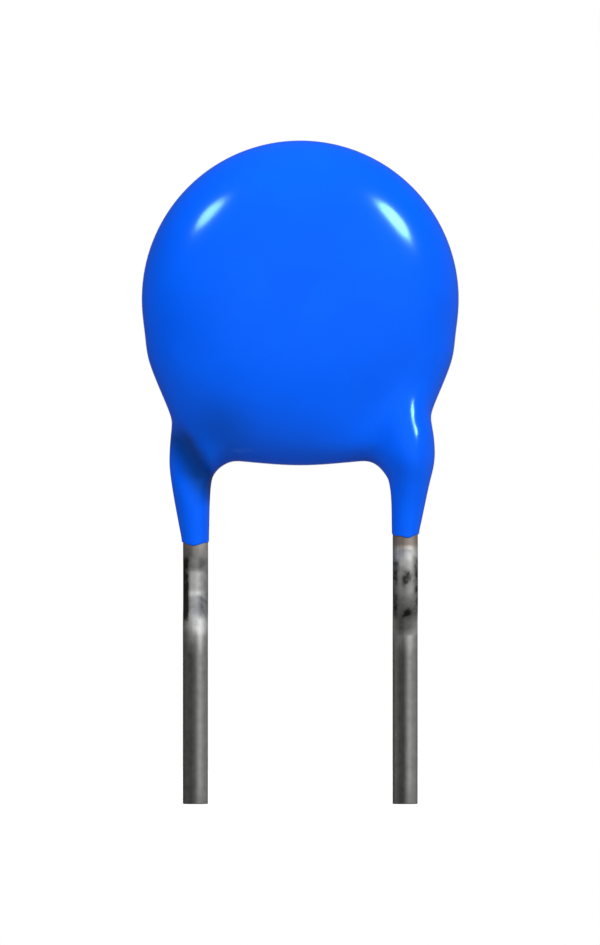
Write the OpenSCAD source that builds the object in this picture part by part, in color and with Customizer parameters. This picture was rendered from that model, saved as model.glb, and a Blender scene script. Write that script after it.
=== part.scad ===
// A radial ceramic disc capacitor: a silvered ceramic disc between two formed
// leads, dipped in epoxy that runs a little way down each lead.
// X runs across the leads, Y through the disc, Z up. The origin is on the board's
// surface, half-way between the leads. The right lead is soldered to the front
// face (-Y) and the left lead to the rear face (+Y).

/* [Ceramic] */
// Diameter of the ceramic disc
ceramic_d = 6.6; // [5.5:0.1:9]
// Thickness of the ceramic disc
ceramic_t = 0.5; // [0.3:0.05:1.2]
// Bare ceramic left between an electrode and the rim
electrode_margin = 0.35; // [0.2:0.05:0.8]
// Thickness of a fired silver electrode
electrode_t = 0.05; // [0.03:0.01:0.1]

/* [Leads] */
// Distance between the two leads at the board
pitch = 5; // [4.6:0.1:6]
// Diameter of the wire
wire_d = 0.6; // [0.5:0.05:0.7]
// How much a bend draws the wire's radius in
bend_thin = 0.005; // [0.004:0.001:0.01]
// Length of each lead below the board's surface
pin_l = 4; // [2.5:0.5:25]
// Height of the kink above the board's surface
kink_h = 2.2; // [2:0.1:2.8]
// How far the kink bulges outwards from the line of the wire above it
kink_bulge = 0.27; // [0.24:0.01:0.4]
// Slope of the wire at the top of the kink, in degrees
kink_top_angle = 40; // [30:1:40]
// Slope of the wire at the foot of the kink, in degrees
kink_foot_angle = 60; // [50:1:65]
// Radius of the kink's bends, to the middle of the wire
kink_r = 0.5; // [0.4:0.05:0.5]
// Height at which a lead starts to lean in over the ceramic
lean_z = 4.6; // [4:0.1:5]
// Lean of a lead over the ceramic, in degrees
lean_angle = 24; // [10:1:30]
// Radius of the bend into that lean
lean_r = 1.2; // [0.8:0.1:2]
// Length of the leaning wire, from its bend to its cut end
lean_l = 3.7; // [3:0.1:4.5]

/* [Solder] */
// Film of solder between a lead and its electrode
solder_film = 0.03; // [0.02:0.01:0.06]
// Solder over the top of a lead
solder_cover = 0.08; // [0.05:0.01:0.15]
// Length of the solder joint
solder_l = 2.6; // [2:0.1:3]
// Width of the solder joint on the electrode
solder_w = 1.5; // [1.2:0.1:1.8]
// Width of the solder joint over the top of a lead
solder_top_w = 0.7; // [0.6:0.05:0.9]
// How far the solder runs past a lead's cut end
solder_past = 0.2; // [0:0.05:0.4]

/* [Coating] */
// Epoxy round the ceramic's rim
rim_cover = 0.49; // [0.4:0.01:0.8]
// Epoxy over a lead on the disc's face
face_cover = 0.6; // [0.5:0.01:0.8]
// How square the coated disc's rim is: 2 is an ellipse, and more is squarer
rim_power = 3.2; // [3:0.1:4]
// Height of the coated disc's lowest edge above the board
disc_low_z = 4.25; // [4:0.05:5]
// How far the epoxy between the leads hangs below that edge
web_drop = 0.05; // [0:0.01:0.5]
// How much further it hangs where it meets the leads
web_droop = 0.5; // [0.3:0.05:0.6]
// Distance from the middle at which it starts to do so
droop_x = 1.5; // [1.2:0.1:1.8]
// How far the epoxy between the leads follows the right one to the front
right_turn = 0.8; // [0.4:0.1:1]
// How far it follows the left one to the rear
left_turn = 0.6; // [0.4:0.1:1]
// Thickness of the epoxy between the leads
web_t = 1.4; // [1.2:0.1:1.8]
// Width of that epoxy along its lower edge, before its round ends
web_low_w = 4.1; // [3.9:0.1:4.6]
// Width where it flares into the disc, before its round sides
web_high_w = 5.5; // [5.1:0.1:5.9]
// Height above the disc's lowest edge at which that flare ends
flare_h = 2.4; // [2:0.1:2.6]
// Height at which the epoxy ends on the left lead
left_end_z = 2.22; // [2.2:0.01:2.8]
// Height at which the epoxy ends on the right lead
right_end_z = 2.41; // [2.2:0.01:2.8]
// Epoxy round a lead where it ends
end_cover = 0.02; // [0.02:0.01:0.08]
// Height of the middle of an epoxy leg
leg_z = 3.6; // [3.3:0.1:3.9]
// Epoxy round a lead at that height
leg_cover = 0.17; // [0.12:0.01:0.3]
// How far the leg stands outwards of its lead there
leg_out = 0.1; // [0:0.01:0.1]
// Height of the shoulder
shoulder_z = 4.25; // [4.1:0.05:4.6]
// Epoxy round the left lead at the shoulder
shoulder_cover = 0.27; // [0.22:0.01:0.4]
// Extra epoxy round the right lead, from its shoulder up
right_swell = 0.08; // [0:0.01:0.1]
// How far the leg stands outwards of its lead at the shoulder
shoulder_out = 0.06; // [0:0.01:0.2]
// Height of the neck between the shoulder and the disc
neck_z = 5.2; // [5:0.05:5.5]
// Epoxy round a lead at the neck
neck_cover = 0.24; // [0.18:0.01:0.3]
// Height at which a leg is lost in the disc
lost_z = 6.6; // [6.2:0.1:7.6]
// How far the leg's middle has moved in at the neck
neck_in = 0.05; // [0:0.01:0.1]
// How far it has moved in where it is lost
lost_in = 0.3; // [0:0.05:0.5]
// Width over which the disc and the epoxy under it blend
blend = 0.6; // [0.3:0.05:0.7]
// Width over which a leg blends into them
leg_blend = 0.25; // [0.2:0.05:0.5]

/* [Hidden] */
$fn = 48;

// The core
wire_r = wire_d / 2;
// How far a straight run of wire reaches into the bends beside it
bend_lap = wire_d / 20;
electrode_r = ceramic_d / 2 - electrode_margin;
electrode_y = ceramic_t / 2 + electrode_t;
lead_x = pitch / 2;
lead_y = electrode_y + solder_film + wire_r;

// The coated disc
disc_r = ceramic_d / 2 + rim_cover;
disc_t = 2 * (lead_y + wire_r + face_cover);
disc_z = disc_low_z + disc_r;

// The kink: its two slopes and the flat between them
foot_slope = (lead_y + kink_bulge - 2 * kink_r * (1 - cos(kink_foot_angle))) / sin(kink_foot_angle);
top_slope = (kink_bulge - 2 * kink_r * (1 - cos(kink_top_angle))) / sin(kink_top_angle);
foot_h = 2 * kink_r * sin(kink_foot_angle) + foot_slope * cos(kink_foot_angle);
top_h = 2 * kink_r * sin(kink_top_angle) + top_slope * cos(kink_top_angle);
kink_flat = kink_h - foot_h - top_h;

// The coating below the disc
web_z = disc_low_z - web_drop;
// Rows of [height, x, radius] up an epoxy leg, from its end to where it is lost
function leg_rows(end_z, swell) = [
    [end_z, lead_x, wire_r + end_cover],
    [leg_z, lead_x + leg_out, wire_r + leg_cover],
    [shoulder_z, lead_x + shoulder_out, wire_r + shoulder_cover + swell],
    [neck_z, lead_x - neck_in, wire_r + neck_cover + swell],
    [lost_z, lead_x - lost_in, 0]
];

// The coating is lofted through sections. Each runs from a foot in the open space under
// the web to a point of a guide line, which goes up the outside of a leg and then round
// the disc. The feet climb beside the leg and, past the shoulder, move to the middle.
foot_gap = 0.5;
foot_x = lead_x - wire_r - foot_gap;
foot_z = web_z - foot_gap;
guide_z = web_z + flare_h;
guide_turn = asin((disc_z - guide_z) / disc_r);
flare_l = guide_z - shoulder_z;
rim_l = disc_r * (90 + guide_turn) * PI / 180;
leg_rings = 18;
disc_rings = 20;
ring_points = 48;
// Extra length of each leg, cut off square at its end
trim = 0.15;
// Lengths of the rays that look for the skin, and how often each is halved
ray_along = 2 * disc_r + lead_x;
ray_across = 2 * disc_t;
halvings = 14;

// Smallest of two distances, with the corner between them rounded off over a width
function blend_min(a, b, width) =
    let (h = max(width - abs(a - b), 0) / width)
    min(a, b) - h * h * width / 4;

function mix(a, b, t) = a + (b - a) * t;
function smooth(t) = let (u = min(max(t, 0), 1)) u * u * (3 - 2 * u);

// Distances from a point to each form of the coating, below zero inside it. A side is
// [the rows of its leg, how far the web turns with that leg].
function disc_distance(p) =
    let (r = norm([p.x, p.z - disc_z]) / disc_r, y = 2 * abs(p.y) / disc_t,
         slope = norm([rim_power * pow(r, rim_power - 1) / disc_r, 4 * y / disc_t]))
    (pow(r, rim_power) + y * y - 1) / max(slope, 1 / disc_r);

function web_half_w(z) =
    let (up = (z - web_z) / flare_h)
    mix(web_low_w, web_high_w, min(max(up, 0), 1)) / 2;

// Middle of the epoxy between the leads, which turns from the one lead's side of the
// disc to the other's, and less so towards the disc
function web_y(x, z, side) =
    -side[1] * lead_y * min(max(x / lead_x, -1), 1) * smooth((guide_z - z) / flare_h);

// Height of its lower edge
function web_low(x) =
    web_z - web_droop * smooth((abs(x) - droop_x) / (lead_x - droop_x));

function web_distance(p, side) =
    norm([max(abs(p.x) - web_half_w(p.z), 0),
          p.y - web_y(p.x, p.z, side),
          max(web_low(p.x) + web_t / 2 - p.z, p.z - guide_z, 0)]) - web_t / 2;

// Slope of column k at row i, from the rows on each side of it
function slope(rows, i, k) =
    let (low = rows[max(i - 1, 0)], high = rows[min(i + 1, len(rows) - 1)])
    (high[k] - low[k]) / (high[0] - low[0]);

// Column k at height z, on a smooth curve through the rows
function read(rows, z, k) =
    let (i = max([for (j = [0:len(rows) - 2]) rows[j][0] < z || j == 0 ? j : 0]),
         low = rows[i], high = rows[i + 1], h = high[0] - low[0],
         t = min(max((z - low[0]) / h, 0), 1))
    pow(1 - t, 2) * ((1 + 2 * t) * low[k] + t * h * slope(rows, i, k))
    + t * t * ((3 - 2 * t) * high[k] - (1 - t) * h * slope(rows, i + 1, k));

function leg_distance(p, side) =
    let (rows = side[0], top = rows[len(rows) - 1][0])
    norm([p.x - read(rows, p.z, 1), p.y + lead_y, max(p.z - top, 0)]) - read(rows, p.z, 2);

function coat_distance(p, side) =
    blend_min(blend_min(disc_distance(p), web_distance(p, side), blend),
              leg_distance(p, side), leg_blend);

// Distance from o along the unit vector d to the coating's surface, by halving
function skin_from(o, d, side, near, far, steps) =
    let (half = (near + far) / 2)
    steps == 0 ? half
    : coat_distance(o + half * d, side) < 0 ? skin_from(o, d, side, half, far, steps - 1)
    : skin_from(o, d, side, near, half, steps - 1);

// One closed section of the coating, in the half-plane from the foot through the guide
// point. Its rays start on a line that leans from the lead's depth to the disc's.
function section(foot, guide, side) =
    let (angle = atan2(guide.y - foot.y, guide.x - foot.x),
         out = [cos(angle), 0, sin(angle)],
         high_y = -lead_y * (1 - smooth((guide.y - shoulder_z) / (lost_z - shoulder_z))),
         inside = min((lead_x - foot.x) / max(cos(angle), 0.001),
                      (web_z + web_t / 2 - foot.y) / max(sin(angle), 0.001)),
         start = [foot.x, 0, foot.y] + inside * out,
         low_y = -lead_y * smooth(start.x / lead_x),
         low = inside - skin_from([start.x, low_y, start.z], -out, side, 0, inside, halvings),
         high = inside + skin_from([start.x, high_y, start.z], out, side, 0, ray_along, halvings),
         middle = (low + high) / 2,
         spread = max((high - low - web_t) / 2, 0))
    [for (i = [0:ring_points - 1])
        let (turn = 360 * i / ring_points,
             s = middle + spread * cos(turn),
             o = [foot.x, mix(low_y, high_y, (1 + cos(turn)) / 2), foot.y] + s * out,
             d = out * cos(turn) + [0, sin(turn), 0])
        o + d * skin_from(o, d, side, 0, ray_across, halvings)];

// How far out the foot is when the guide has gone a length past the shoulder
function foot_out(l) = foot_x * pow(1 - max(l, 0) / (flare_l + rim_l), 3);

// Sections from the end of one leg to the middle of the disc
function half_sections(end_z, swell, turn) =
    let (side = [leg_rows(end_z, swell), turn], low_z = end_z - trim)
    concat(
        [for (i = [0:leg_rings - 1])
            let (z = mix(low_z, guide_z, i / leg_rings),
                 x = mix(lead_x + wire_r + shoulder_cover, disc_r * cos(guide_turn),
                         max(z - shoulder_z, 0) / flare_l))
            section([foot_out(z - shoulder_z), min(z, foot_z)], [x, z], side)],
        [for (i = [0:disc_rings])
            let (turn = mix(-guide_turn, 90, i / disc_rings))
            section([foot_out(flare_l + rim_l * i / disc_rings), foot_z],
                    [disc_r * cos(turn), disc_z + disc_r * sin(turn)], side)]);

// The same section on the other side: half a turn about Z
function turned(ring) =
    [for (i = [0:ring_points - 1])
        let (p = ring[(ring_points - i) % ring_points]) [-p.x, -p.y, p.z]];

module coat_form() {
    right = half_sections(right_end_z, right_swell, right_turn);
    left = half_sections(left_end_z, 0, left_turn);
    rings = concat(right, [for (i = [len(left) - 2:-1:0]) turned(left[i])]);
    last = len(rings) - 1;
    n = ring_points;
    polyhedron(
        points = [for (ring = rings) each ring],
        faces = concat(
            [[for (i = [0:n - 1]) i]],
            [for (r = [0:last - 1], i = [0:n - 1])
                let (j = (i + 1) % n)
                each [[r * n + i, (r + 1) * n + i, (r + 1) * n + j],
                      [r * n + i, (r + 1) * n + j, r * n + j]]],
            [[for (i = [n - 1:-1:0]) last * n + i]]),
        convexity = 6);
}

// What the epoxy is dipped over
module core() {
    ceramic_disc();
    front_electrode();
    rear_electrode();
    front_solder();
    rear_solder();
    left_lead();
    right_lead();
}

module epoxy_coating() {
    cut = pitch;
    color("#0b63f5") difference() {
        coat_form();
        for (end = [[lead_x, right_end_z], [-lead_x, left_end_z]])
            translate([end.x - cut / 4, -cut / 2, end.y - cut]) cube([cut / 2, cut, cut]);
        core();
    }
}

// A disc on the capacitor's axis, from y_low to y_high
module plate(r, y_low, y_high) {
    translate([0, y_high, disc_z]) rotate([90, 0, 0]) cylinder(r = r, h = y_high - y_low, $fn = 96);
}

module ceramic_disc() {
    color("#c8b08a") plate(ceramic_d / 2, -ceramic_t / 2, ceramic_t / 2);
}

module front_electrode() {
    color("#d8d8d4") plate(electrode_r, -electrode_y, -ceramic_t / 2);
}

module rear_electrode() {
    color("#d8d8d4") plate(electrode_r, ceramic_t / 2, electrode_y);
}

// A wire drawn upwards as a chain of steps: each is a straight run and then a bend,
// [length, angle, the direction it bends to, radius]
module wire(steps, i = 0) {
    if (i < len(steps)) {
        length = steps[i][0];
        angle = steps[i][1];
        towards = steps[i][2];
        radius = steps[i][3];
        low_lap = i > 0 ? bend_lap : 0;
        high_lap = angle > 0 ? bend_lap : 0;
        translate([0, 0, -low_lap]) cylinder(r = wire_r, h = length + low_lap + high_lap);
        translate([0, 0, length]) rotate(towards) {
            if (angle > 0)
                translate([radius, 0, 0]) rotate([90, 0, 180])
                    rotate_extrude(angle = angle) translate([radius, 0]) circle(wire_r - bend_thin);
            translate([radius * (1 - cos(angle)), 0, radius * sin(angle)])
                rotate([0, angle, 0]) rotate(-towards) wire(steps, i + 1);
        }
    }
}

// The front lead, from the tip of its pin to its cut end on the ceramic
module lead() {
    front = -90;
    back = 90;
    across = 180;
    translate([lead_x, 0, -pin_l]) wire([
        [pin_l, kink_foot_angle, front, kink_r],
        [foot_slope, kink_foot_angle, back, kink_r],
        [kink_flat, kink_top_angle, back, kink_r],
        [top_slope, kink_top_angle, front, kink_r],
        [lean_z - kink_h, lean_angle, across, lean_r],
        [lean_l, 0, 0, 0]
    ]);
}

// The solder that holds the front lead on its electrode
module solder() {
    height = solder_film + wire_d + solder_cover;
    reach = (solder_l - solder_w) / 2;
    difference() {
        translate([lead_x - lean_r * (1 - cos(lean_angle)), -electrode_y,
                   lean_z + lean_r * sin(lean_angle)])
            rotate([0, -lean_angle, 0]) translate([0, 0, lean_l + solder_past - solder_l / 2])
                hull() for (z = [-reach, reach])
                    translate([0, 0, z]) rotate([90, 0, 0])
                        cylinder(r1 = solder_w / 2, r2 = solder_top_w / 2, h = height, $fn = 32);
        lead();
    }
}

module front_solder() {
    color("#b4b8bc") solder();
}

module rear_solder() {
    color("#b4b8bc") rotate(180) solder();
}

module left_lead() {
    color("#a6a8aa") rotate(180) lead();
}

module right_lead() {
    color("#a6a8aa") lead();
}

epoxy_coating();
ceramic_disc();
front_electrode();
rear_electrode();
front_solder();
rear_solder();
left_lead();
right_lead();
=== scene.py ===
"""The looks of a radial ceramic disc capacitor: its glossy epoxy coat, its two formed
leads and what the coat hides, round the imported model."""

import math

import bmesh
import bpy
from mathutils import Matrix, Vector, noise


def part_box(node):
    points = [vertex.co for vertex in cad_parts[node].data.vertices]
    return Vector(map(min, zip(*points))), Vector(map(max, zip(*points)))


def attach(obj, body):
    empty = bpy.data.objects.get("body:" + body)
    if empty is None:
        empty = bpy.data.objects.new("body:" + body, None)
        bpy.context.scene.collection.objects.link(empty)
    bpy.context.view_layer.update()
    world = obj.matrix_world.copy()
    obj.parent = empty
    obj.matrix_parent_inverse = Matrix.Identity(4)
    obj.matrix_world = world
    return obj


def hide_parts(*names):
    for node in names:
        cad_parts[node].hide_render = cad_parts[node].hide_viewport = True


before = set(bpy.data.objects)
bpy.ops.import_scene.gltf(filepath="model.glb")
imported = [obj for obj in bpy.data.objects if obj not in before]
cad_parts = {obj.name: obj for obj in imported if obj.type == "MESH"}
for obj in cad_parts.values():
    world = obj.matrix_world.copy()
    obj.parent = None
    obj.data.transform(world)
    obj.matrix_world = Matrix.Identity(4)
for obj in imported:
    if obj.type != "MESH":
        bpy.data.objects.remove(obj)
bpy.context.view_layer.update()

MM = 0.001

# The leads, in millimetres, as the model has them
PITCH = 5.0
WIRE_R = 0.3
PIN_L = 4.0
KINK_H = 2.2
KINK_BULGE = 0.27
KINK_TOP_ANGLE = 40
KINK_FOOT_ANGLE = 60
KINK_R = 0.5
LEAN_Z = 4.6
LEAN_ANGLE = 24
LEAN_R = 1.2
LEAN_L = 3.7
COAT_END_Z = {"left": 2.22, "right": 2.41}
SOLDER_FILM = 0.03
LEAD_Y = abs(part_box("front_solder")[1].y) / MM + SOLDER_FILM + WIRE_R


# ---------------------------------------------------------------- shared helpers

# The Mix node's sockets that share a name, by number: two numbers, or two colours and
# their mixture
NUMBER_A, NUMBER_B = 2, 3
COLOUR_A, COLOUR_B, COLOUR_MIXED = 6, 7, 2


def linear(code):
    """An sRGB hex colour as the linear RGBA that a shader socket takes."""
    parts = [int(code[i:i + 2], 16) / 255 for i in (1, 3, 5)]
    return [c / 12.92 if c <= 0.04045 else ((c + 0.055) / 1.055) ** 2.4 for c in parts] + [1.0]


def add_node(tree, kind, links=None, **settings):
    """A node with its settings, and with the sockets in `links` linked or set."""
    node = tree.nodes.new(kind)
    for name, value in settings.items():
        setattr(node, name, value)
    for socket, value in (links or {}).items():
        if isinstance(value, bpy.types.NodeSocket):
            tree.links.new(value, node.inputs[socket])
        else:
            node.inputs[socket].default_value = value
    return node


def new_material(name):
    """An empty material, its Principled shader and its Object coordinates in metres."""
    material = bpy.data.materials.new(name)
    material.use_nodes = True
    tree = material.node_tree
    tree.nodes.clear()
    shader = add_node(tree, "ShaderNodeBsdfPrincipled")
    add_node(tree, "ShaderNodeOutputMaterial", {"Surface": shader.outputs["BSDF"]})
    place = add_node(tree, "ShaderNodeTexCoord").outputs["Object"]
    return material, tree, shader, place


def per_metre(size_mm):
    """A noise scale whose features are about this many millimetres across."""
    return 1 / (size_mm * MM)


def finished(name, bm, *materials):
    """What a bmesh has become, as an object in the scene with its materials."""
    mesh = bpy.data.meshes.new(name)
    bm.to_mesh(mesh)
    bm.free()
    for material in materials:
        mesh.materials.append(material)
    piece = bpy.data.objects.new(name, mesh)
    bpy.context.scene.collection.objects.link(piece)
    return piece


# ---------------------------------------------------------------- materials

def epoxy_coat():
    """Pigmented epoxy powder, melted on and cured: a deep blue gloss that runs to a
    slightly uneven skin, with soft orange peel and a faint cloudiness in the pigment. Shade
    is painted into it: the blue is deeper along the crease by each leg and in a patch above."""
    material, tree, shader, place = new_material("blue epoxy dip coat")
    cloud = add_node(tree, "ShaderNodeTexNoise",
                     {"Vector": place, "Scale": per_metre(1.6), "Detail": 3.0,
                      "Roughness": 0.55})
    colour = add_node(tree, "ShaderNodeValToRGB", {"Fac": cloud.outputs["Fac"]})
    colour.color_ramp.elements[0].position = 0.3
    colour.color_ramp.elements[0].color = linear("#015CF6")
    colour.color_ramp.elements[1].position = 0.7
    colour.color_ramp.elements[1].color = linear("#0161FF")
    # Painted shade: the blue is deepened along each leg's crease and in a patch above it
    painted_shade = add_node(tree, "ShaderNodeAttribute", attribute_name="painted_shade")
    shaded_colour = add_node(tree, "ShaderNodeMix",
                      {"Factor": painted_shade.outputs["Fac"], COLOUR_A: colour.outputs["Color"],
                       COLOUR_B: linear("#023E9C")}, data_type="RGBA")
    tree.links.new(shaded_colour.outputs[COLOUR_MIXED], shader.inputs["Base Color"])
    peel = add_node(tree, "ShaderNodeTexNoise",
                    {"Vector": place, "Scale": per_metre(0.7), "Detail": 2.0, "Roughness": 0.4})
    bump = add_node(tree, "ShaderNodeBump",
                    {"Height": peel.outputs["Fac"], "Strength": 0.25, "Distance": 0.01 * MM})
    tree.links.new(bump.outputs["Normal"], shader.inputs["Normal"])
    shader.inputs["Roughness"].default_value = 0.16
    shader.inputs["IOR"].default_value = 1.52
    shader.inputs["Specular Tint"].default_value = linear("#A4F4FF")
    return material


def tinned_wire():
    """Copper-clad steel wire, drawn and then tin-plated: a satin grey metal with drawing
    marks along it, coarser than the real ones so that they show. Its tone is random grain
    with a painted reflection on top: a dark band down one side, and light and dark marks on
    the kink. Soldering flux has browned it next to the coat."""
    material, tree, shader, place = new_material("tin-plated drawn wire")
    drawn = add_node(tree, "ShaderNodeAttribute", attribute_name="drawn")
    along = add_node(tree, "ShaderNodeMapping",
                     {"Vector": drawn.outputs["Vector"], "Scale": (1, 1, 0.12)})
    marks = add_node(tree, "ShaderNodeTexNoise",
                     {"Vector": along.outputs["Vector"], "Scale": per_metre(0.06),
                      "Detail": 3.0})
    grain = add_node(tree, "ShaderNodeTexNoise",
                     {"Vector": place, "Scale": per_metre(0.16), "Detail": 2.0})
    # Painted reflection: how bright the plating is painted at each place, a reflection of the
    # room on the round wire and of the kink's bends
    bright = add_node(tree, "ShaderNodeAttribute", attribute_name="bright")
    grain_and_reflection = add_node(tree, "ShaderNodeMath",
                    {0: grain.outputs["Fac"], 1: 0.6, 2: bright.outputs["Fac"]},
                    operation="MULTIPLY_ADD")
    tone = add_node(tree, "ShaderNodeValToRGB", {"Fac": grain_and_reflection.outputs[0]})
    tone.color_ramp.elements[0].color = linear("#484847")
    tone.color_ramp.elements[1].position = 0.95
    tone.color_ramp.elements[1].color = linear("#EAEAE7")
    tone.color_ramp.elements.new(0.2).color = linear("#ACACAA")
    flux = add_node(tree, "ShaderNodeAttribute", attribute_name="flux")
    stained = add_node(tree, "ShaderNodeMix",
                       {"Factor": flux.outputs["Fac"], COLOUR_A: tone.outputs["Color"],
                        COLOUR_B: linear("#A08A78")}, data_type="RGBA")
    tree.links.new(stained.outputs[COLOUR_MIXED], shader.inputs["Base Color"])
    bump = add_node(tree, "ShaderNodeBump",
                    {"Height": marks.outputs["Fac"], "Strength": 0.35, "Distance": 0.004 * MM})
    tree.links.new(bump.outputs["Normal"], shader.inputs["Normal"])
    scuffed = add_node(tree, "ShaderNodeAttribute", attribute_name="scuffed")
    rough = add_node(tree, "ShaderNodeMapRange",
                     {"Value": scuffed.outputs["Fac"], "To Min": 0.28, "To Max": 0.68})
    tree.links.new(rough.outputs["Result"], shader.inputs["Roughness"])
    shader.inputs["Metallic"].default_value = 1.0
    return material


def cut_metal(name, dark, light):
    """Sheared metal on the cut end of a wire: bare and dull, with tear marks across it, as
    coarse as they need to be to show."""
    material, tree, shader, place = new_material(name)
    tear = add_node(tree, "ShaderNodeMapping", {"Vector": place, "Scale": (1, 0.15, 1)})
    torn = add_node(tree, "ShaderNodeTexNoise",
                    {"Vector": tear.outputs["Vector"], "Scale": per_metre(0.04),
                     "Detail": 3.0})
    colour = add_node(tree, "ShaderNodeValToRGB", {"Fac": torn.outputs["Fac"]})
    colour.color_ramp.elements[0].position = 0.3
    colour.color_ramp.elements[0].color = linear(dark)
    colour.color_ramp.elements[1].position = 0.7
    colour.color_ramp.elements[1].color = linear(light)
    tree.links.new(colour.outputs["Color"], shader.inputs["Base Color"])
    bump = add_node(tree, "ShaderNodeBump",
                    {"Height": torn.outputs["Fac"], "Strength": 0.4, "Distance": 0.006 * MM})
    tree.links.new(bump.outputs["Normal"], shader.inputs["Normal"])
    shader.inputs["Metallic"].default_value = 1.0
    shader.inputs["Roughness"].default_value = 0.45
    return material


def fired_ceramic():
    """Barium titanate, pressed and fired: a matt tan body with pale and dark grains, far
    coarser than the real ones so that they show."""
    material, tree, shader, place = new_material("fired dielectric ceramic")
    grain = add_node(tree, "ShaderNodeTexNoise",
                     {"Vector": place, "Scale": per_metre(0.08), "Detail": 4.0,
                      "Roughness": 0.65})
    colour = add_node(tree, "ShaderNodeValToRGB", {"Fac": grain.outputs["Fac"]})
    colour.color_ramp.elements[0].position = 0.35
    colour.color_ramp.elements[0].color = linear("#A88F6A")
    colour.color_ramp.elements[1].position = 0.65
    colour.color_ramp.elements[1].color = linear("#CBB592")
    tree.links.new(colour.outputs["Color"], shader.inputs["Base Color"])
    bump = add_node(tree, "ShaderNodeBump",
                    {"Height": grain.outputs["Fac"], "Strength": 0.3, "Distance": 0.01 * MM})
    tree.links.new(bump.outputs["Normal"], shader.inputs["Normal"])
    shader.inputs["Roughness"].default_value = 0.72
    return material


def silver_paste():
    """Silver paste, screened on and fired: a pale metal, still dull from its glass frit,
    with the mesh of the screen just showing."""
    material, tree, shader, place = new_material("fired silver paste")
    frit = add_node(tree, "ShaderNodeTexNoise",
                    {"Vector": place, "Scale": per_metre(0.12), "Detail": 3.0})
    colour = add_node(tree, "ShaderNodeValToRGB", {"Fac": frit.outputs["Fac"]})
    colour.color_ramp.elements[0].position = 0.3
    colour.color_ramp.elements[0].color = linear("#C9C5BB")
    colour.color_ramp.elements[1].position = 0.7
    colour.color_ramp.elements[1].color = linear("#E6E3DA")
    tree.links.new(colour.outputs["Color"], shader.inputs["Base Color"])
    screen = add_node(tree, "ShaderNodeTexVoronoi",
                      {"Vector": place, "Scale": per_metre(0.15), "Randomness": 0.0})
    bump = add_node(tree, "ShaderNodeBump",
                    {"Height": screen.outputs["Distance"], "Strength": 0.3,
                     "Distance": 0.005 * MM})
    tree.links.new(bump.outputs["Normal"], shader.inputs["Normal"])
    shader.inputs["Metallic"].default_value = 1.0
    shader.inputs["Roughness"].default_value = 0.5
    return material


def tin_solder():
    """Tin solder that froze on the electrode: bright, with a frost of small crystals."""
    material, tree, shader, place = new_material("tin solder fillet")
    frost = add_node(tree, "ShaderNodeTexVoronoi", {"Vector": place, "Scale": per_metre(0.18)})
    colour = add_node(tree, "ShaderNodeValToRGB", {"Fac": frost.outputs["Distance"]})
    colour.color_ramp.elements[0].color = linear("#DADAD6")
    colour.color_ramp.elements[1].position = 0.8
    colour.color_ramp.elements[1].color = linear("#A9A9A6")
    tree.links.new(colour.outputs["Color"], shader.inputs["Base Color"])
    bump = add_node(tree, "ShaderNodeBump",
                    {"Height": frost.outputs["Distance"], "Strength": 0.3,
                     "Distance": 0.008 * MM})
    tree.links.new(bump.outputs["Normal"], shader.inputs["Normal"])
    shader.inputs["Metallic"].default_value = 1.0
    shader.inputs["Roughness"].default_value = 0.34
    return material


# ---------------------------------------------------------------- the epoxy coat

# The skin ends and the pocket begins where faces meet at more than this many degrees
POCKET_ANGLE = 40
# The rest is in millimetres: how near two corners are one, and a place on the disc's face
WELD = 0.0001
ON_THE_FACE = Vector((0, -1.5, 8))
# The left leg's fold as (x, z), from its outer end down to the web, and the height at
# which it has faded out
FOLD_OUT, FOLD_IN = Vector((-2.86, 5.05)), Vector((-2.13, 3.85))
FOLD_TOP_Z = 5.15
# The left leg, where it passes under the disc: its middle and its half width and depth
LEG_X, LEG_HALF_W, LEG_HALF_D = -2.55, 0.56, 0.42
# The painted shade above the leg's crease, a patch of deeper blue: its middle, its radius
# and its strength
SHADE_X, SHADE_Z, SHADE_R, SHADE_DEPTH = -2.0, 4.7, 1.35, 0.45
# The swell on each leg's shoulder: its middle, its thickness, and its reach to a side,
# up and down
SWELL_X, SWELL_Z, SWELL = 2.7, 4.15, 0.11
SWELL_ACROSS, SWELL_UP, SWELL_DOWN = 0.65, 0.75, 1.4
# The part of the skin round it that flows level, and how many passes that takes
LEVEL_X, LEVEL_Z, LEVEL_PASSES = (1.0, 3.4), (3.6, 6.4), 4
# The wavy ends: the band that moves, how far the middle hangs below the sides and the
# share of that below the model's edge, how far the edge wanders and how often in 1 mm
END_BAND, END_SAG, END_BELOW = 0.2, 0.07, 0.7
END_WANDER, WANDERS_PER_MM = 0.05, 4


def ease(t):
    """0 before 0, 1 past 1, and a smooth step between."""
    t = min(max(t, 0), 1)
    return t * t * (3 - 2 * t)


def rise(value, start, width):
    """A smooth step from 0 up to 1, which begins at `start` and takes `width`."""
    return ease((value - start) / width)


def fall(value, end, width):
    """A smooth step from 1 down to 0, which takes `width` and is over at `end`."""
    return ease((end - value) / width)


def outer_faces(bm, sharp):
    """The faces reached from the topmost one without crossing a sharp edge."""
    top = max(bm.faces, key=lambda f: f.calc_center_median().z)
    found, front = {top}, [top]
    while front:
        for edge in front.pop().edges:
            if edge.calc_face_angle(0) < sharp:
                fresh = [f for f in edge.link_faces if f not in found]
                found.update(fresh)
                front.extend(fresh)
    return found


def edges_round(vert, face):
    """The edges of a corner in turn, from one of a face's and away from that face."""
    loop = next(l for l in face.loops if l.vert == vert)
    edges = []
    for _ in vert.link_edges:
        edges.append(loop.edge)
        loop = loop.link_loop_prev.link_loop_radial_next
    return edges


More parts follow.
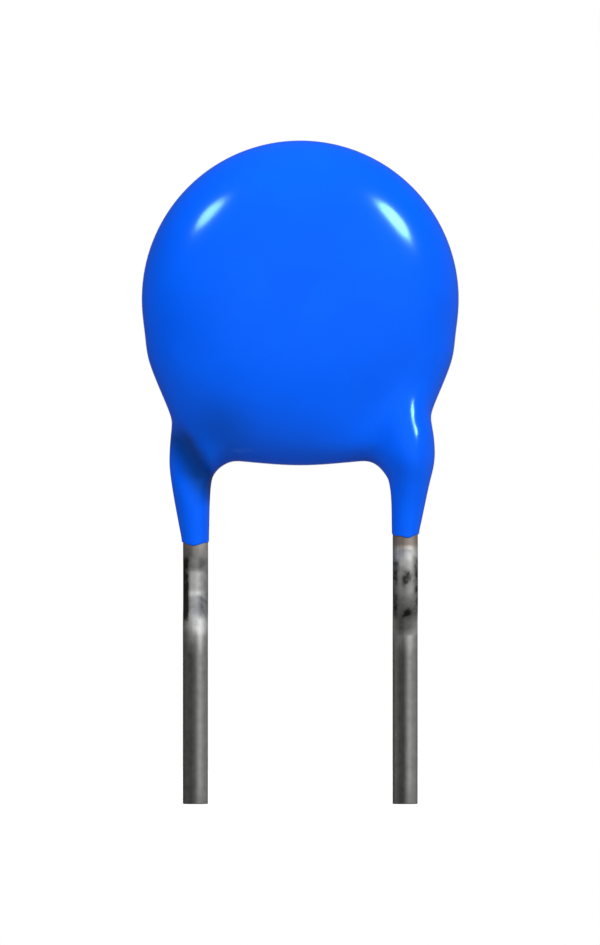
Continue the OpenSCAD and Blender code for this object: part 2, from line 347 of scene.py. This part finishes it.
def diagonals(skin, seed):
    """The edges that split a regular grid into triangles, from one that is known. At a
    corner with six edges two of them are diagonals, and they lie opposite each other."""
    found, front = {seed}, [seed]
    while front:
        edge = front.pop()
        fresh = set()
        for face in edge.link_faces:
            far = next(v for v in face.verts if v not in edge.verts)
            for vert in face.verts:
                if len(vert.link_edges) != 6 or not all(f in skin for f in vert.link_faces):
                    continue
                ring = edges_round(vert, face)
                first = 2 if vert == far else ring.index(edge)
                fresh.update((ring[first], ring[(first + 3) % 6]))
        front.extend(fresh - found)
        found |= fresh
    return found


def tuck_legs(verts, painted_shade):
    """Sinks each leg's far side under the disc: a crease runs from the coat's outer edge down
    to the corner between the leg and the web. The layer passed in gets painted shade, a
    deeper blue along that crease and in a patch above it. Both legs are worked out as the
    left one, seen from the front, and `past` is how far a point lies below the crease, on
    the leg's side of it."""
    down = (FOLD_IN - FOLD_OUT).normalized()
    for vert in verts:
        side = 1 if vert.co.x < 0 else -1
        x, y, z = Vector((side * vert.co.x, side * vert.co.y, vert.co.z)) / MM
        past = (FOLD_OUT.x - x) * -down.y + (FOLD_OUT.y - z) * down.x
        across = (x - LEG_X) / LEG_HALF_W
        leg_y = LEAD_Y - LEG_HALF_D * math.sqrt(max(1 - across ** 2, 0))
        below = fall(z, end=FOLD_TOP_Z, width=0.5)
        if y < leg_y:
            tuck = below * rise(past, start=-0.12, width=0.3) * (leg_y - y)
            vert.co.y += side * tuck * MM
        # Painted shade: a patch of deeper blue above the crease and a band along it
        if y < LEAD_Y:
            shade_patch = SHADE_DEPTH * ease(1 - math.hypot(x - SHADE_X, z - SHADE_Z) / SHADE_R)
            crevice_shade = (below * rise(past, start=-0.2, width=0.25)
                       * fall(past, end=0.75, width=0.5) * rise(z, start=2.95, width=0.5))
            vert[painted_shade] = max(shade_patch, crevice_shade)


def flow_over_legs(bm, verts):
    """Lets the epoxy gather a little on the near side of each leg's shoulder, and levels it
    there into the disc, as it does while it is wet."""
    for vert in verts:
        x, y, z = vert.co / MM
        if x * y < 0 and abs(y) > LEAD_Y:
            across = (abs(x) - SWELL_X) / SWELL_ACROSS
            along = (z - SWELL_Z) / (SWELL_UP if z > SWELL_Z else SWELL_DOWN)
            swell = SWELL * ease(1 - math.hypot(across, along))
            swell *= rise(abs(y), start=LEAD_Y, width=0.2)
            vert.co.y += math.copysign(swell * MM, y)
    near = [v for v in verts if v.co.x * v.co.y < 0
            and LEVEL_X[0] < abs(v.co.x) / MM < LEVEL_X[1]
            and LEVEL_Z[0] < v.co.z / MM < LEVEL_Z[1]]
    for _ in range(LEVEL_PASSES):
        bmesh.ops.smooth_vert(bm, verts=near, factor=0.5, use_axis_x=False, use_axis_y=True,
                              use_axis_z=False)


def wet_ends(bm, skin, crease):
    """Lets each end of the coat run out on its wire: the edge hangs lowest in front of the
    wire and behind it, wanders a little, and is round."""
    for vert in bm.verts:
        side = "left" if vert.co.x < 0 else "right"
        x, y, z = vert.co / MM
        end = fall(z, end=COAT_END_Z[side] + END_BAND, width=END_BAND)
        if end > 0:
            across = (abs(x) - PITCH / 2) / WIRE_R
            sag = END_SAG * (across * across - END_BELOW)
            sag += END_WANDER * noise.noise(Vector((x, y, 0)) * WANDERS_PER_MM)
            vert.co.z += end * sag * MM
    # Without its crease, the edge between the skin and the pocket is smoothed round
    for edge in bm.edges:
        if edge[crease] == 1.0 and any(f in skin for f in edge.link_faces):
            edge[crease] = 0.0


def make_coat(material):
    """The coat's skin, smoothed over the model's own. The pocket round the core stays
    sharp."""
    bm = bmesh.new()
    bm.from_mesh(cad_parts["epoxy_coating"].data)
    crease = bm.edges.layers.float.new("crease_edge")
    # The layer that holds the shade painted into the blue by each leg
    painted_shade = bm.verts.layers.float.new("painted_shade")
    bmesh.ops.remove_doubles(bm, verts=bm.verts, dist=WELD * MM)
    bm.normal_update()
    skin = outer_faces(bm, math.radians(POCKET_ANGLE))
    for edge in bm.edges:
        edge[crease] = 0.0 if all(f in skin for f in edge.link_faces) else 1.0
    skin_verts = list({v for f in skin for v in f.verts})
    tuck_legs(skin_verts, painted_shade)
    wet_ends(bm, skin, crease)
    # The triangles are joined to the loft's own quads again, so that the gloss runs evenly
    middle = min(skin, key=lambda f: (f.calc_center_median() - ON_THE_FACE * MM).length)
    longest = max(middle.edges, key=lambda e: e.calc_length())
    bmesh.ops.dissolve_edges(bm, edges=list(diagonals(skin, longest)), use_verts=False)
    flow_over_legs(bm, skin_verts)
    for face in bm.faces:
        face.smooth = True
        face.material_index = 0
    coat = finished("epoxy_coat", bm, material)
    smooth = coat.modifiers.new("smooth skin", "SUBSURF")
    smooth.levels = smooth.render_levels = 2
    return coat


# ---------------------------------------------------------------- the leads

# In millimetres: the part of a kink that the forming tool held, where a painted reflection
# of the kink's bends takes the place of the wire's own, how far that fades at both ends,
# and the height of the two dark spots painted on the right lead as reflections of the bends
GRIP_Z = (0.3, 2.0)
GRIP_FADE = 0.25
PAINTED_SPOTS_Z = (0.55, 1.39)
# How far below the coat the flux ran, and how strongly it stained each lead
FLUX_RUN = 0.42
FLUX_STAIN = {"left": 0.35, "right": 0.8}
# The faces round a wire, and on a cut tip the rounded edge, the tin and the copper on the
# steel, in millimetres
WIRE_SIDES = 40
TIP_ROUND, TIN_WALL, COPPER_WALL = 0.02, 0.008, 0.045
# The material slots of a lead
TIN, COPPER, STEEL = 0, 1, 2


def plating(side, u, z):
    """How bright, how scuffed and how stained a lead's plating is, at `u` radii right of
    its middle and `z` mm up. The brightness is a painted reflection: each lead is painted
    with a dark band left of its middle. On the kink a painted reflection of its bends takes
    over: the left lead has a bright stripe between a dark edge and a grey one, the right
    lead is dull with two dark spots. Both are scuffed."""
    if side == "left":
        bright = 0.5 * rise(u, -0.35, 0.25)
        # The kink's painted reflection on the left lead: a bright stripe between a dark edge
        # and a grey one
        pressed = 1.0 * rise(u, -0.64, 0.28) - 0.62 * rise(u, 0.08, 0.4) - 0.34
        pressed -= 0.12 * fall(z, 1.2, 0.25) * rise(z, GRIP_Z[0], 0.3)
    else:
        bright = 0.5 * rise(u, -0.2, 0.25) + 0.35 * fall(u, -0.45, 0.2)
        # The kink's painted reflection on the right lead: dull, with two painted dark spots
        pressed = 0.25 * rise(u, -0.8, 0.45) * fall(u, 0.9, 0.45) - 0.22
        for spot_z in PAINTED_SPOTS_Z:
            away = math.hypot((u - 0.1) / 0.6, (z - spot_z) / 0.26)
            pressed -= 0.38 * ease(1.1 - away)
    on_kink = rise(z, GRIP_Z[0], GRIP_FADE) * fall(z, GRIP_Z[1], GRIP_FADE)
    scuffed = rise(z, -0.2, 0.4)
    stained = FLUX_STAIN[side] * rise(z, COAT_END_Z[side] - FLUX_RUN, 0.3)
    return bright + on_kink * (pressed - bright), scuffed, stained


def make_lead(side, materials):
    """One lead, drawn up from its cut tip as a straight run, the kink's four bends and
    the lean over the ceramic. The front lead is the right one; the left is it turned."""
    bm = bmesh.new()
    drawn = bm.verts.layers.float_vector.new("drawn")
    looks = [bm.verts.layers.float.new(name) for name in ("bright", "scuffed", "flux")]
    bmesh.ops.create_circle(bm, segments=WIRE_SIDES, radius=WIRE_R * MM, cap_ends=False)
    for vert in bm.verts:
        vert[drawn] = vert.co.copy()
    state = {"ring": list(bm.edges), "turn": Matrix.Identity(3), "at": Vector((0, 0, 0))}

    def extrude(move, length):
        """Adds one ring of faces, `length` long, and moves its far edge into place."""
        made = bmesh.ops.extrude_edge_only(bm, edges=state["ring"])["geom"]
        verts = [g for g in made if isinstance(g, bmesh.types.BMVert)]
        fresh = set(verts)
        state["ring"] = [g for g in made if isinstance(g, bmesh.types.BMEdge)
                         and g.verts[0] in fresh and g.verts[1] in fresh]
        move(verts)
        for vert in verts:
            vert[drawn] = vert[drawn] + Vector((0, 0, length))

    def straight(length, steps):
        """Draws the wire on, straight ahead."""
        step = state["turn"] @ Vector((0, 0, length / steps))
        for _ in range(steps):
            extrude(lambda verts: bmesh.ops.translate(bm, verts=verts, vec=step),
                    length / steps)
            state["at"] = state["at"] + step

    def bend(angle, towards, radius, steps):
        """Draws the wire on round a bend, towards one of its own sides."""
        centre = state["at"] + state["turn"] @ (towards * radius)
        axis = state["turn"] @ Vector((0, 0, 1)).cross(towards)
        turn = Matrix.Rotation(math.radians(angle) / steps, 3, axis)
        for _ in range(steps):
            extrude(lambda verts: bmesh.ops.rotate(bm, verts=verts, cent=centre,
                                                   matrix=turn),
                    math.radians(angle) / steps * radius)
            state["turn"] = turn @ state["turn"]
            state["at"] = centre + turn @ (state["at"] - centre)

    front, back, inwards = Vector((0, -1, 0)), Vector((0, 1, 0)), Vector((-1, 0, 0))
    # What the kink's height and bulge leave for its two slopes and the flat between them
    foot, top = math.radians(KINK_FOOT_ANGLE), math.radians(KINK_TOP_ANGLE)
    foot_slope = (LEAD_Y + KINK_BULGE - 2 * KINK_R * (1 - math.cos(foot))) / math.sin(foot)
    top_slope = (KINK_BULGE - 2 * KINK_R * (1 - math.cos(top))) / math.sin(top)
    flat = (KINK_H - 2 * KINK_R * (math.sin(foot) + math.sin(top))
            - foot_slope * math.cos(foot) - top_slope * math.cos(top))
    straight(PIN_L * MM, steps=8)
    bend(KINK_FOOT_ANGLE, front, KINK_R * MM, steps=10)
    straight(foot_slope * MM, steps=5)
    bend(KINK_FOOT_ANGLE, back, KINK_R * MM, steps=10)
    straight(flat * MM, steps=10)
    bend(KINK_TOP_ANGLE, back, KINK_R * MM, steps=8)
    straight(top_slope * MM, steps=3)
    bend(KINK_TOP_ANGLE, front, KINK_R * MM, steps=8)
    straight((LEAN_Z - KINK_H) * MM, steps=4)
    bend(LEAN_ANGLE, inwards, LEAN_R * MM, steps=6)
    straight(LEAN_L * MM, steps=4)
    # Both ends are closed, and the cut tip shows the tin, the copper and the steel
    rims = [e for e in bm.edges if e.is_boundary]
    ends = bmesh.ops.edgeloop_fill(bm, edges=rims)["faces"]
    tip = min(ends, key=lambda f: f.calc_center_median().z)
    bmesh.ops.bevel(bm, geom=list(tip.edges), offset=TIP_ROUND * MM, segments=3, profile=0.5,
                    affect="EDGES", material=-1)
    tip = min(bm.faces, key=lambda f: f.calc_center_median().z)
    bmesh.ops.inset_individual(bm, faces=[tip], thickness=TIN_WALL * MM)
    ring = bmesh.ops.inset_individual(bm, faces=[tip], thickness=COPPER_WALL * MM)["faces"]
    for face in ring:
        face.material_index = COPPER
    tip.material_index = STEEL
    bmesh.ops.translate(bm, verts=bm.verts, vec=(PITCH / 2 * MM, 0, -PIN_L * MM))
    if side == "left":
        bmesh.ops.rotate(bm, verts=bm.verts, cent=(0, 0, 0),
                         matrix=Matrix.Rotation(math.pi, 3, "Z"))
    bmesh.ops.recalc_face_normals(bm, faces=bm.faces)
    middle_x = PITCH / 2 if side == "right" else -PITCH / 2
    # Each corner gets its painted reflection, its scuffing and its flux stain
    for vert in bm.verts:
        u = (vert.co.x / MM - middle_x) / WIRE_R
        for layer, value in zip(looks, plating(side, u, vert.co.z / MM)):
            vert[layer] = value
    for face in bm.faces:
        face.smooth = len(face.verts) == 4 and face.material_index == TIN
    return finished(side + "_tinned_lead", bm, *materials)


# ---------------------------------------------------------------- the object

coat = make_coat(epoxy_coat())
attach(coat, "root")
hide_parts("epoxy_coating")
wire = [tinned_wire(), cut_metal("sheared copper cladding", "#8A4F36", "#C98A68"),
        cut_metal("sheared steel core", "#5C5C5B", "#8C8C8A")]
for side in ("left", "right"):
    lead = make_lead(side, wire)
    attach(lead, "root")
    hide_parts(side + "_lead")

# The core that the coat hides keeps the model's own shapes
ceramic, silver, solder = fired_ceramic(), silver_paste(), tin_solder()
core = {"ceramic_disc": ceramic, "front_electrode": silver, "rear_electrode": silver,
        "front_solder": solder, "rear_solder": solder}
for node, material in core.items():
    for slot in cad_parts[node].material_slots:
        slot.material = material


# ---------------------------------------------------------------- the studio

# In millimetres: the height and the middle of what the camera sees in the plane of the
# leads, how far away it stands, how wide its sensor is, and the least and the greatest
# distance that it sees
VIEW_H = 22.533
VIEW_MIDDLE = Vector((-0.006, 0, 3.903))
CAMERA_AWAY = 400
SENSOR_W = 36
NEAREST, FARTHEST = 10, 10000
# What the softboxes are aimed at, and how far from it they hang
DISC_MIDDLE = Vector((0, 0, 8))
SOFTBOX_AWAY = 700
# The floor, at the leads' tips
FLOOR_Z = -PIN_L
FLOOR_R = 45
FLOOR_SIDES = 96
# How brightly the floor shines for the camera alone, on top of the light that falls on it
FLOOR_SHINE = 0.7

bpy.context.scene.view_settings.view_transform = "Standard"
camera = bpy.data.objects.new("camera", bpy.data.cameras.new("camera"))
bpy.context.scene.collection.objects.link(camera)
camera.location = (VIEW_MIDDLE + Vector((0, -CAMERA_AWAY, 0))) * MM
camera.rotation_euler = (math.radians(90), 0, 0)
camera.data.sensor_width = SENSOR_W
camera.data.lens = SENSOR_W * CAMERA_AWAY / VIEW_H
camera.data.clip_start, camera.data.clip_end = NEAREST * MM, FARTHEST * MM
bpy.context.scene.camera = camera


def direction(azimuth, elevation):
    """The unit vector to a place in the room, from two angles in degrees. Azimuth 0 is in
    front and 90 is on the right."""
    a, e = math.radians(azimuth), math.radians(elevation)
    return Vector((math.sin(a) * math.cos(e), -math.cos(a) * math.cos(e), math.sin(e)))


def softbox(name, azimuth, elevation, long, short, radiance):
    """An oval softbox aimed at the middle of the disc, `long` by `short` degrees across,
    with its long side turned along the disc's rim."""
    away = SOFTBOX_AWAY * MM
    lamp = bpy.data.lights.new(name, "AREA")
    lamp.shape = "ELLIPSE"
    lamp.size = 2 * away * math.tan(math.radians(long / 2))
    lamp.size_y = 2 * away * math.tan(math.radians(short / 2))
    area = math.pi * lamp.size * lamp.size_y / 4
    lamp.energy = radiance * math.pi * area
    light = bpy.data.objects.new(name, lamp)
    out = direction(azimuth, elevation)
    along = Vector((0, 1, 0)).cross(out).normalized()
    light.rotation_euler = Matrix((along, out.cross(along), out)).transposed().to_euler()
    light.location = DISC_MIDDLE * MM + out * away
    light.visible_camera = False
    bpy.context.scene.collection.objects.link(light)


softbox("left softbox", azimuth=-47, elevation=35, long=14, short=11, radiance=23)
softbox("right softbox", azimuth=47, elevation=32, long=18, short=13, radiance=33)


def pale_floor():
    """A sheet of white card, with fibres coarse enough to show. The camera sees it as plain
    white, and the object's own shadow still falls on it."""
    material, tree, shader, place = new_material("white card")
    fibre = add_node(tree, "ShaderNodeTexNoise",
                     {"Vector": place, "Scale": per_metre(0.8), "Detail": 3.0})
    bump = add_node(tree, "ShaderNodeBump",
                    {"Height": fibre.outputs["Fac"], "Strength": 0.1, "Distance": 0.01 * MM})
    tree.links.new(bump.outputs["Normal"], shader.inputs["Normal"])
    shader.inputs["Base Color"].default_value = linear("#A0A0A0")
    shader.inputs["Roughness"].default_value = 0.9
    shader.inputs["Specular IOR Level"].default_value = 0.0
    ray = add_node(tree, "ShaderNodeLightPath")
    white = add_node(tree, "ShaderNodeEmission", {"Strength": FLOOR_SHINE})
    lit = add_node(tree, "ShaderNodeAddShader",
                   {0: shader.outputs["BSDF"], 1: white.outputs[0]})
    seen = add_node(tree, "ShaderNodeMixShader",
                    {0: ray.outputs["Is Camera Ray"], 1: shader.outputs["BSDF"],
                     2: lit.outputs[0]})
    output = next(n for n in tree.nodes if n.type == "OUTPUT_MATERIAL")
    tree.links.new(seen.outputs[0], output.inputs["Surface"])
    return material


def make_floor():
    """The card that the leads' tips stand on."""
    bm = bmesh.new()
    bmesh.ops.create_circle(bm, cap_ends=True, segments=FLOOR_SIDES, radius=FLOOR_R * MM)
    bmesh.ops.translate(bm, verts=bm.verts, vec=(0, 0, FLOOR_Z * MM))
    floor = finished("floor", bm, pale_floor())
    floor.visible_glossy = False


make_floor()

# The room, by direction. It lights the object softly from above, from in front and from
# behind. The gloss sees a dim room, so that the epoxy keeps its deep colour, with a white
# backdrop behind the object. The camera sees white all round.
DIM = 0.06
# How directly behind the object the backdrop begins, as the cosine of the angle
BACKDROP_EDGE = 0.93
# Each glow's azimuth, elevation, sharpness and strength: those that light the object, and
# those that only the gloss sees, which shine along the wires
GLOWS = [(0, 80, 4, 1.35), (0, 10, 4, 1.3), (180, 30, 8, 2.2)]
GLEAMS = [(36, 0, 8, 0.22), (85, 0, 6, 0.16), (125, 0, 6, 0.09), (-95, 0, 6, 0.05),
          (0, -70, 4, 0.15)]


def glow(tree, towards, azimuth, elevation, sharpness, strength):
    """A wide soft light from one direction, as a node that fades with the angle from it."""
    facing = add_node(tree, "ShaderNodeVectorMath",
                      {0: towards, 1: direction(azimuth, elevation)},
                      operation="DOT_PRODUCT")
    front = add_node(tree, "ShaderNodeMath", {0: facing.outputs["Value"], 1: 0.0},
                     operation="MAXIMUM")
    fade = add_node(tree, "ShaderNodeMath", {0: front.outputs[0], 1: sharpness},
                    operation="POWER")
    return add_node(tree, "ShaderNodeMath", {0: fade.outputs[0], 1: strength},
                    operation="MULTIPLY").outputs[0]


def glow_together(tree, towards, level, rows):
    """A plain level of light with the glows of all the rows on top."""
    for row in rows:
        level = add_node(tree, "ShaderNodeMath", {0: level, 1: glow(tree, towards, *row)},
                         operation="ADD").outputs[0]
    return level


def light_room():
    """Makes the world give the light, the gloss and the view that the room has."""
    world = bpy.data.worlds.new("studio")
    bpy.context.scene.world = world
    world.use_nodes = True
    world.cycles.sampling_method = "NONE"
    tree = world.node_tree
    tree.nodes.clear()
    ray = add_node(tree, "ShaderNodeLightPath")
    towards = add_node(tree, "ShaderNodeTexCoord").outputs["Generated"]
    soft = glow_together(tree, towards, 0.0, GLOWS)
    dim = glow_together(tree, towards, DIM, GLEAMS)
    axes = add_node(tree, "ShaderNodeSeparateXYZ", {"Vector": towards})
    behind = add_node(tree, "ShaderNodeMapRange",
                      {"Value": axes.outputs["Y"], "From Min": BACKDROP_EDGE, "From Max": 1.0},
                      interpolation_type="SMOOTHSTEP")
    backdrop = add_node(tree, "ShaderNodeMix", {"Factor": behind.outputs["Result"],
                                                NUMBER_A: dim, NUMBER_B: 1.0})
    lit = add_node(tree, "ShaderNodeMix", {"Factor": ray.outputs["Is Glossy Ray"],
                                           NUMBER_A: soft, NUMBER_B: backdrop.outputs[0]})
    white = add_node(tree, "ShaderNodeMath", {0: ray.outputs["Is Camera Ray"],
                                              1: ray.outputs["Is Transmission Ray"]},
                     operation="MAXIMUM")
    shown = add_node(tree, "ShaderNodeMix", {"Factor": white.outputs[0],
                                             NUMBER_A: lit.outputs[0], NUMBER_B: 1.0})
    light = add_node(tree, "ShaderNodeBackground", {"Color": linear("#FFFFFF"),
                                                    "Strength": shown.outputs[0]})
    add_node(tree, "ShaderNodeOutputWorld", {"Surface": light.outputs[0]})


light_room()
